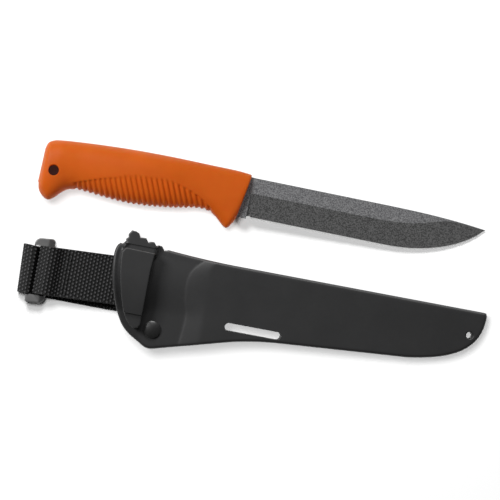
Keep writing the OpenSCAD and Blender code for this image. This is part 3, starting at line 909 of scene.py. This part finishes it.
def shell_edge(plan):
    """Radius of the upper edge: small on the thumb ramp's teeth and the mouth, larger elsewhere."""
    x, y = plan[:, 0], plan[:, 1]
    teeth = step(y, *TEETH_EDGE_Y) * (1 - step(x, *TEETH_EDGE_X))
    mouth = (1 - step(x, *MOUTH_EDGE_X)) * (1 - teeth)
    return EDGE_R - TEETH_SHARPER * teeth - MOUTH_SHARPER * mouth


def oval_ring(x, half_high, half_wide, n=72):
    """A squarish oval across the sheath, centred on the pocket's axis."""
    ring = []
    for k in range(n):
        a = 2 * math.pi * k / n
        c, s = math.cos(a), math.sin(a)
        y = POCKET_AXIS_Y + half_wide * math.copysign(abs(c)**OVAL_POWER, c)
        ring.append((x, y, half_high * math.copysign(abs(s)**OVAL_POWER, s)))
    return ring


def pocket_cutter():
    """The handle's pocket, flared at the mouth and stepped at the guard."""
    return mesh_object("pocket_cutter", *loft([oval_ring(*station) for station in POCKET_STATIONS]))


def blade_room_cutter():
    """The flat room that the blade slides into."""
    outline = ([(SEAT_X - 1, -2.2), (SEAT_X - 1, -29.5), (38, -29.5)]
               + [tuple(p) for p in bezier((38, -29.5), (68, -29.5), (90, -20), (99, -7), 12)]
               + [(99, -7), (97, -3.5), (60, -2.2)])
    return mesh_object("blade_cutter", *prism(outline, -BLADE_ROOM_HALF, BLADE_ROOM_HALF))


def slot_ring(r, z):
    """A round-ended ring of half width r along the lashing slot."""
    reach = (LASH_L - LASH_W) / 2
    turns = np.linspace(0, math.pi, 17)
    right = [(LASH[0] + reach + r * math.sin(t), LASH[1] - r * math.cos(t), z) for t in turns]
    left = [(LASH[0] - reach - r * math.sin(t), LASH[1] + r * math.cos(t), z) for t in turns]
    return right + left


def slot_cutter():
    """The lashing slot, with its edges rounded over at both faces."""
    levels = [(LASH_FLARE, -LASH_FACE - 4), (LASH_FLARE, -LASH_FACE)]
    levels += [(LASH_FLARE * (1 - math.sin(t)), -LASH_FACE + LASH_FLARE - LASH_FLARE * math.cos(t))
               for t in np.linspace(0.25, math.pi / 2, 5)]
    levels += [(grow, -z) for grow, z in reversed(levels)]
    return mesh_object("slot_cutter", *loft([slot_ring(LASH_W / 2 + grow, z) for grow, z in levels]))


def box_cutter(name, low, high):
    outline = [(low[0], low[1]), (high[0], low[1]), (high[0], high[1]), (low[0], high[1])]
    return mesh_object(name, *prism(outline, low[2], high[2]))


def bridge_height(plan):
    """The crowned panel, and the pad below it."""
    y = plan[:, 1]
    fall = PANEL_FALL[0] * (np.minimum(y - PANEL_CREST_Y, 0) / PANEL_FALL[1])**2
    fall_above = PANEL_FALL_ABOVE[0] * (np.maximum(y - PANEL_CREST_Y, 0) / PANEL_FALL_ABOVE[1])**2
    panel = BAR_HIGH - fall - fall_above
    pad = PAD - PAD_SLOPE * np.maximum(PAD_TOP_Y - y, 0)
    return pad + (panel - pad) * step(y, PANEL_FOOT_Y - PANEL_FOOT_RUN, PANEL_FOOT_Y)


def make_bridge(material):
    """The bar that a belt strap can pass under, with the pad at its foot."""
    lines = [[(-90, PANEL_FOOT_Y - d), (-60, PANEL_FOOT_Y - d)] for d in (-0.3, 0, PANEL_FOOT_RUN, 0.6)]
    bridge = relief_solid("bridge", bridge_outline(), bridge_height, even_edge(BRIDGE_R), 0.9, lines,
                          material, foot=4, chamfer=0.1)
    low, high = BRIDGE_SLOT_Y
    cut(bridge, box_cutter("strap_slot", (-95, low, 0), (-55, high, BAR_LOW)))
    return bridge


def make_shell(name, material, mirrored):
    """One half of the sheath; the back half is the front one's mirror image."""
    outline = sheath_outline()
    crease_y = np.linspace(*CREASE_SPAN, 90)
    crease_line = np.stack([smooth(CREASE, crease_y), crease_y], axis=1)
    beside = crease_line + np.array((CREASE_SECOND, 0))
    ledge = [[(x, y) for x in BLOCK_LEDGE_X] for y in BLOCK_LEDGE_Y]

    def height(plan):
        return shell_height(plan) + mouth_lip(plan, outline)

    shell = relief_solid(name, outline, height, shell_edge, 1.1, [crease_line, beside] + ledge, material)
    combine(shell, make_bridge(material), "UNION")
    cut(shell, pocket_cutter(), blade_room_cutter(), slot_cutter(),
        hole_cutter("tie_cutter", TIE, TIE_R, TIP_HALF, TIE_FLARE, IN_PLACE),
        hole_cutter("rivet_cutter", RIVET, RIVET_R, FLANGE + 1, 0.01, IN_PLACE))
    if mirrored:
        shell.data.transform(Matrix.Scale(-1, 4, Vector((0, 0, 1))))
        shell.data.flip_normals()
    shell.data.transform(SHEATH_PLACE)
    return shell


# ---- rivet ----
HEAD_R = 5.2
HEAD_H = 2.2
HEAD_RIM = 0.9


def head_profile():
    """Domed head on a short upright rim, as radius and height from the rim to near the middle."""
    reach, rise = HEAD_R - 0.1, HEAD_H - HEAD_RIM
    ball = (reach**2 + rise**2) / (2 * rise)
    dome = [(r, HEAD_H - ball + math.sqrt(ball**2 - r**2)) for r in np.linspace(reach, 0.5, 14)]
    return [(HEAD_R - 0.25, 0), (HEAD_R, 0.15), (HEAD_R, HEAD_RIM - 0.1)] + dome


def make_rivets(material):
    """The rivet with its head and shank, and the cap on the back."""
    shank = [(0, -FLANGE), (RIVET_R, -FLANGE), (RIVET_R, 0)]
    head = [(r, FLANGE + z) for r, z in head_profile()]
    rivet = lathe("rivet_head", shank + head + [(0, FLANGE + HEAD_H)], RIVET, SHEATH_PLACE, [material])
    finish_piece(rivet, "sheath", "rivet")
    head = [(r, -FLANGE - z) for r, z in reversed(head_profile())]
    profile = [(0, -FLANGE - HEAD_H)] + head + [(0, -FLANGE)]
    cap = lathe("rivet_back", profile, RIVET, SHEATH_PLACE, [material])
    finish_piece(cap, "sheath", "rivet_cap")


# ---- belt loop: one strip of webbing, in the shared frame ----
WEB_W = 30
WEB_T = 1.6
WEB_STEP = 0.32
WEB_SIDE_R = 0.5
WEAVE_DEPTH = 0.22
SELVEDGE = (1.2, 0.5)
# The hinge line and the strip's heights over it; the bend is blended over a short length there
FOLD_X = -90
FOLD_LOW_Z = 0.8
FOLD_TOP_Z = 6.2
# Middle of the lower layer at the mouth and at the far fold, and of the skewed upper layer at the mouth.
# FAR_FOLD_X and LEAN_X are counted the other way, so that they grow towards the far fold
WEB_LOW_Y = -25.7
WEB_FAR_Y = -25
WEB_TOP_Y = -22.2
WEB_TOP_SKEW = 0.052
FAR_FOLD_X = (130, 141)
FAR_FOLD_LEAN = 0.045
LEAN_X = (134, 140)
# The sewn end presses the strip in, and two rows of stitches hold it
SEAM_X = -113.2
SEAM_DENT = 0.35
SEAM_WIDTH = 0.7
STITCH_ROWS = (-115.2, -113.2)
STITCH_COUNT = 9
STITCH_Z = 7.95
STITCH_R = 0.32
STITCH_FLAT = 0.8
STITCH_DROP = 0.15
STITCH_GAP = 0.35
STITCH_SPAN = WEB_W - 3
ROUTE_CUTS = 8
# The strip's middle as (x, z), from the end inside the slide, round the far fold, under and round the
# sheath's bar, then back over the slide's bars to the sewn end
WEB_ROUTE = [(-123, 2.7), (-127, 2.7), (-131, 2.7), (-133.1, 2.9), (-134.3, 4.3), (-134.5, 6.2),
             (-134.9, 7.7), (-136.1, 8.5), (-137.8, 8.4), (-140.2, 7.4), (-142, 5.6), (-142.6, 3.6),
             (-141.9, 1.7), (-139.7, 0.9), (-134, 0.82), (-124, 0.8), (-112, 0.8), (-100, 0.8),
             (FOLD_X, FOLD_LOW_Z), (-84, 0.8), (-76, 0.8), (-68, 0.8), (-63.6, 0.85), (-61.7, 1.6),
             (-60.9, 3.1), (-61.7, 4.7), (-63.8, 5.3), (-68, 5.45), (-76, 5.8), (-82, 6.05),
             (-86, 6.15), (FOLD_X, FOLD_TOP_Z), (-96, 6.5), (-103, 6.8), (-110, 7), (-114, 7.05),
             (-117.5, 7.3), (-120, 8.3), (-122.5, 9.8), (-125.4, 10.5), (-128.2, 10.1), (-130.6, 8.8),
             (-132.4, 7.6), (-132.7, 6), (-131.8, 4.7), (-130.4, 4.4), (-128.9, 4.8), (-128, 6.4),
             (-126.9, 8.1), (-125.2, 8.6), (-123.3, 7.9), (-121, 6.3), (-118.4, 5.2), (-116, 5.1),
             (-113.6, 5.1)]


def catmull(points, n):
    """A smooth line through points, with n steps between neighbours."""
    p = np.array(points, float)
    p = np.vstack([p[:1], p, p[-1:]])
    out = []
    for a, b, c, d in zip(p, p[1:], p[2:], p[3:]):
        for k in range(n):
            t = k / n
            out.append(0.5 * (2 * b + (c - a) * t + (2 * a - 5 * b + 4 * c - d) * t**2
                              + (3 * b - a - 3 * c + d) * t**3))
    return np.array(out + [p[-2]])


def webbing_stations():
    """Evenly spaced points on the route, how far along it each one lies, and where it meets the mouth."""
    line = catmull(WEB_ROUTE, ROUTE_CUTS)
    along = np.concatenate([[0], np.cumsum(np.linalg.norm(np.diff(line, axis=0), axis=1))])
    stations = np.linspace(0, along[-1], int(along[-1] / WEB_STEP))
    line = np.stack([np.interp(stations, along, line[:, k]) for k in (0, 1)], axis=1)
    low, high = (along[ROUTE_CUTS * WEB_ROUTE.index((FOLD_X, z))] for z in (FOLD_LOW_Z, FOLD_TOP_Z))
    return line, stations, low, high


def webbing_section():
    """Place across the strip and share of its half thickness, all round its cross-section."""
    side = WEB_W / 2
    flat = np.linspace(-side + WEB_SIDE_R, side - WEB_SIDE_R, int(WEB_W / WEB_STEP))
    turn = np.linspace(0, math.pi, 7)[1:-1]
    section = [(y, 1.0) for y in flat]
    section += [(side - WEB_SIDE_R + WEB_SIDE_R * math.sin(t), math.cos(t)) for t in turn]
    section += [(y, -1.0) for y in flat[::-1]]
    section += [(-side + WEB_SIDE_R - WEB_SIDE_R * math.sin(t), -math.cos(t)) for t in turn]
    return np.array(section)


def webbing_middle(line, stations, low, high):
    """Middle of the strip at each station, and how much it leans there.

    The lower layer lies straight and the upper one is skewed; they meet round the sheath's bar.
    """
    lower = WEB_LOW_Y + (WEB_FAR_Y - WEB_LOW_Y) * step(-line[:, 0], *FAR_FOLD_X)
    upper = WEB_TOP_Y + WEB_TOP_SKEW * (line[:, 0] - FOLD_X)
    centre = lower + (upper - lower) * step(stations, low, high)
    lean = FAR_FOLD_LEAN * step(-line[:, 0], *LEAN_X) * (stations < low)
    return centre, lean


def webbing_thickness(line, stations, section, weave_y, high):
    """Half thickness at every place: bumps between plain selvedges, and a dent along the seam."""
    wave = np.cos(math.pi * stations / WEAVE_ALONG)[:, None]
    share = (1 - WEAVE_FLOOR) / 2
    bumps = 1 - share + share * np.sign(wave) * np.cos(2 * math.pi * weave_y / WEAVE_ACROSS)
    brick = 2 * np.abs(wave)**(2 * WEAVE_POWER) * bumps - 1
    selvedge = 1 - step(np.abs(section[:, 0]), WEB_W / 2 - SELVEDGE[0], WEB_W / 2 - SELVEDGE[1])
    seam = SEAM_DENT * np.exp(-((line[:, 0] - SEAM_X) / SEAM_WIDTH)**2) * (stations > high)
    thick = section[:, 1] * (WEB_T / 2 - WEAVE_DEPTH + WEAVE_DEPTH * brick * selvedge)
    return thick - seam[:, None] * (section[:, 1] > 0)


def webbing_uvs(web, stations, weave_y):
    """UVs in millimetres along and across the strip, which the weave's colour is laid on."""
    m = len(weave_y)
    layer = web.data.uv_layers.new(name="weave")
    corner = np.empty(len(web.data.loops), int)
    web.data.loops.foreach_get("vertex_index", corner)
    uv = np.stack([stations[corner // m], weave_y[corner % m]], axis=1)
    layer.data.foreach_set("uv", uv.astype(np.float32).ravel())


def make_webbing(material):
    line, stations, low, high = webbing_stations()
    tangent = np.gradient(line, axis=0)
    tangent /= np.linalg.norm(tangent, axis=1)[:, None]
    normal = np.stack([-tangent[:, 1], tangent[:, 0]], axis=1)
    section = webbing_section()
    centre, lean = webbing_middle(line, stations, low, high)
    # The bumps on one face lie over the gaps on the other
    weave_y = section[:, 0] + 0.5 * WEAVE_ACROSS * (section[:, 1] < 0)
    thick = webbing_thickness(line, stations, section, weave_y, high)
    x = line[:, :1] + normal[:, :1] * thick - lean[:, None] * section[:, 0]
    y = np.broadcast_to(centre[:, None] + section[:, 0], x.shape)
    z = line[:, 1:] + normal[:, 1:] * thick
    verts, faces = loft(np.stack([x, y, z], axis=2).tolist())
    web = mesh_object("belt_webbing", verts, faces, [material])
    webbing_uvs(web, stations, weave_y)
    web.data.shade_smooth()
    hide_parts("strap_anchor", "strap_top_run", "strap_bottom_run")
    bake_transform(web)
    return web


def stitch_rings(x, mid, reach, around=8, rows=7):
    """One stitch: a grain that is thinner and a little lower at both ends."""
    rings = []
    for t in np.linspace(-1, 1, rows):
        r = STITCH_R * math.sqrt(max(0.02, 1 - t**4))
        z = STITCH_Z - STITCH_DROP * t * t
        rings.append([(x + r * math.cos(a), mid + t * reach, z + STITCH_FLAT * r * math.sin(a))
                      for a in np.linspace(0, 2 * math.pi, around, endpoint=False)])
    return rings


def make_stitching(material):
    """Two rows of thread that hold the wrapped end, each stitch a rounded grain."""
    pitch = STITCH_SPAN / STITCH_COUNT
    verts, faces = [], []
    for row_x in STITCH_ROWS:
        centre = WEB_TOP_Y + WEB_TOP_SKEW * (row_x - FOLD_X)
        for k in range(STITCH_COUNT):
            mid = centre - STITCH_SPAN / 2 + pitch * (k + 0.5)
            grain, sides = loft(stitch_rings(row_x, mid, pitch / 2 - STITCH_GAP))
            faces += [tuple(len(verts) + v for v in f) for f in sides]
            verts += grain
    stitching = mesh_object("stitching", verts, faces, [material])
    return finish_piece(stitching, "belt_loop", "strap_stitching", angle=70)


# ---- three-bar slide ----
SLIDE_X = (-136.9, -124.6)
SLIDE_Y = -24.7
SLIDE_HALF = 20
SLIDE_SLOT_HALF = 15.2
SLIDE_SLOTS = ((-135.8, -131.3), (-129.4, -126))
SLIDE_END_SLOPE = 0.1
SLIDE_CORNERS = (2.2, 3.4, 2.2, 3.6)
SLIDE_EDGE_R = 0.9
# Heights of the bars, and of the rails that join them at both ends and slope down from RAIL_TOP_X
BAR_Z = (5.7, 7.3)
RAIL_Z = (5.0, 8.4)
RAIL_TOP_X = -128.2
RAIL_EDGE = 0.2


def slide_outline():
    """Frame seen from above: its ends slope a little, and its corners are rounded."""
    left, right = SLIDE_X
    top, bottom = SLIDE_HALF, -SLIDE_HALF
    corners = ((left, bottom), (right, bottom), (right, top), (left, top))
    outline = []
    for k, (corner, r) in enumerate(zip(corners, SLIDE_CORNERS)):
        sx = 1 if corner[0] == left else -1
        sy = 1 if corner[1] == bottom else -1
        cx, cy = corner[0] + sx * r, corner[1] + sy * r
        start = (k + 2) * math.pi / 2
        for t in np.linspace(0, math.pi / 2, 9):
            outline.append((cx + r * math.cos(start + t), cy + r * math.sin(start + t)))
    middle = (left + right) / 2
    return np.array([(x, SLIDE_Y + y + SLIDE_END_SLOPE * (x - middle)) for x, y in outline])


def slide_height(plan):
    """Even bars between two rails that slope down towards the sheath."""
    x, y = plan[:, 0], np.abs(plan[:, 1] - SLIDE_Y)
    along = np.clip((x - RAIL_TOP_X) / (SLIDE_X[1] - RAIL_TOP_X), 0, 1)
    rail = RAIL_Z[1] - (RAIL_Z[1] - BAR_Z[0]) * along
    return BAR_Z[1] + (rail - BAR_Z[1]) * step(y, SLIDE_SLOT_HALF - RAIL_EDGE, SLIDE_SLOT_HALF)


def make_slide(material):
    """A frame with two slots, whose bars are thinner than its rails."""
    lines = [[(x, SLIDE_Y + side * (SLIDE_SLOT_HALF - d)) for x in SLIDE_X]
             for side in (-1, 1) for d in (0, RAIL_EDGE)]
    slide = relief_solid("slide", slide_outline(), slide_height, even_edge(SLIDE_EDGE_R), 0.7, lines,
                         material, foot=RAIL_Z[0], chamfer=0.4)
    low, high = SLIDE_Y - SLIDE_SLOT_HALF, SLIDE_Y + SLIDE_SLOT_HALF
    cut(slide, *[box_cutter("slot", (x0, low, 0), (x1, high, 12)) for x0, x1 in SLIDE_SLOTS])
    cut(slide, box_cutter("under_bars", (SLIDE_X[0] - 1, low, 0), (SLIDE_X[1] + 1, high, BAR_Z[0])))
    return finish_piece(slide, "belt_loop", "strap_slide", angle=40)


# ---- the pieces and their materials ----
orange = grip_material()
flat_steel = steel_material("steel_flat", (0.09, 0.09, 0.095), (0.25, 0.25, 0.255), 0.5)
bevel_steel = steel_material("steel_bevel", grey(0.034), grey(0.13), 0.55)
# The bare edge's near-white colour is partly the bare steel and partly a painted glint
bare_edge_glint = bare_edge_glint_material()
polymer = polymer_material()
rivet_black = rivet_material()
nylon = webbing_material()
thread = thread_material()
slide_grey = slide_material()

make_grip(orange)
make_blade(flat_steel, bevel_steel, bare_edge_glint)
finish_piece(make_shell("sheath_front", polymer, False), "sheath", "front_shell", angle=40)
finish_piece(make_shell("sheath_back", polymer, True), "sheath", "back_shell", angle=40)
make_rivets(rivet_black)
make_webbing(nylon)
make_stitching(thread)
make_slide(slide_grey)


# ---- floor and light ----
FLOOR_HALF = 6000
WORLD_LIGHT = 0.09


def area_light(name, at, size, power, lit, stopped_by=None):
    """A square soft box that looks at the middle of the set, and lights only some of the objects."""
    data = bpy.data.lights.new(name, "AREA")
    data.shape = "SQUARE"
    data.size = size
    data.energy = power
    light = bpy.data.objects.new(name, data)
    light.location = at
    light.rotation_euler = (-Vector(at)).to_track_quat("-Z", "Y").to_euler()
    light.light_linking.receiver_collection = lit
    if stopped_by:
        light.light_linking.blocker_collection = stopped_by
    scene.collection.objects.link(light)
    return light


def make_floor():
    side = FLOOR_HALF
    corners = [(-side, -side, 0), (side, -side, 0), (side, side, 0), (-side, side, 0)]
    obj = mesh_object("floor", corners, [(0, 1, 2, 3)], [floor_material()])
    return obj


def group(name, objects):
    made = bpy.data.collections.new(name)
    for obj in objects:
        made.objects.link(obj)
    return made


pieces = [obj for obj in scene.objects if obj.type == "MESH"]


def named(*names):
    return [obj for obj in pieces if obj.name in names]


def all_except(*names):
    return [obj for obj in pieces if obj.name not in names]


paper = group("paper", [make_floor()])
grip_only = group("grip_only", named("grip"))
blade_only = group("blade_only", named("blade_steel"))
knife_group = group("knife_group", named("grip", "blade_steel"))
sheath_group = group("sheath_group", all_except("grip", "blade_steel"))
all_but_blade = group("all_but_blade", all_except("blade_steel"))
blade_and_loop = group("blade_and_loop", named("blade_steel", "slide", "belt_webbing"))

# The sheath and its belt loop are lit by two low lights, one from the left and one from beyond the knife
area_light("key", (-1.0, 0.45, 0.85), 0.5, 17, sheath_group)
area_light("rake", (-0.15, 1.5, 0.7), 0.5, 22, sheath_group)
# The knife has a higher key, its grip a warm fill, and its blade a weak light from beyond its tip
area_light("knife_key", (-0.95, 0.65, 1.2), 0.5, 27, knife_group)
area_light("grip_fill", (0.9, -0.8, 1.5), 1.2, 10, grip_only).data.color = (1, 0.66, 0.4)
area_light("blade_fill", (1.0, -0.1, 1.3), 1.0, 6, blade_only)
# Two lights reach only the paper. The set throws a short soft shadow from the steep one, and the blade and
# the belt loop throw a wider one from the slanted one
area_light("overhead", (-0.38, 0.38, 2.0), 0.65, 80, paper, all_but_blade)
area_light("slanted", (-0.5, 1.05, 1.4), 0.6, 80, paper, blade_and_loop)
world = bpy.data.worlds.new("world")
world.use_nodes = True
world.node_tree.nodes["Background"].inputs["Color"].default_value = (1, 1, 1, 1)
world.node_tree.nodes["Background"].inputs["Strength"].default_value = WORLD_LIGHT
scene.world = world
scene.view_settings.view_transform = "Standard"
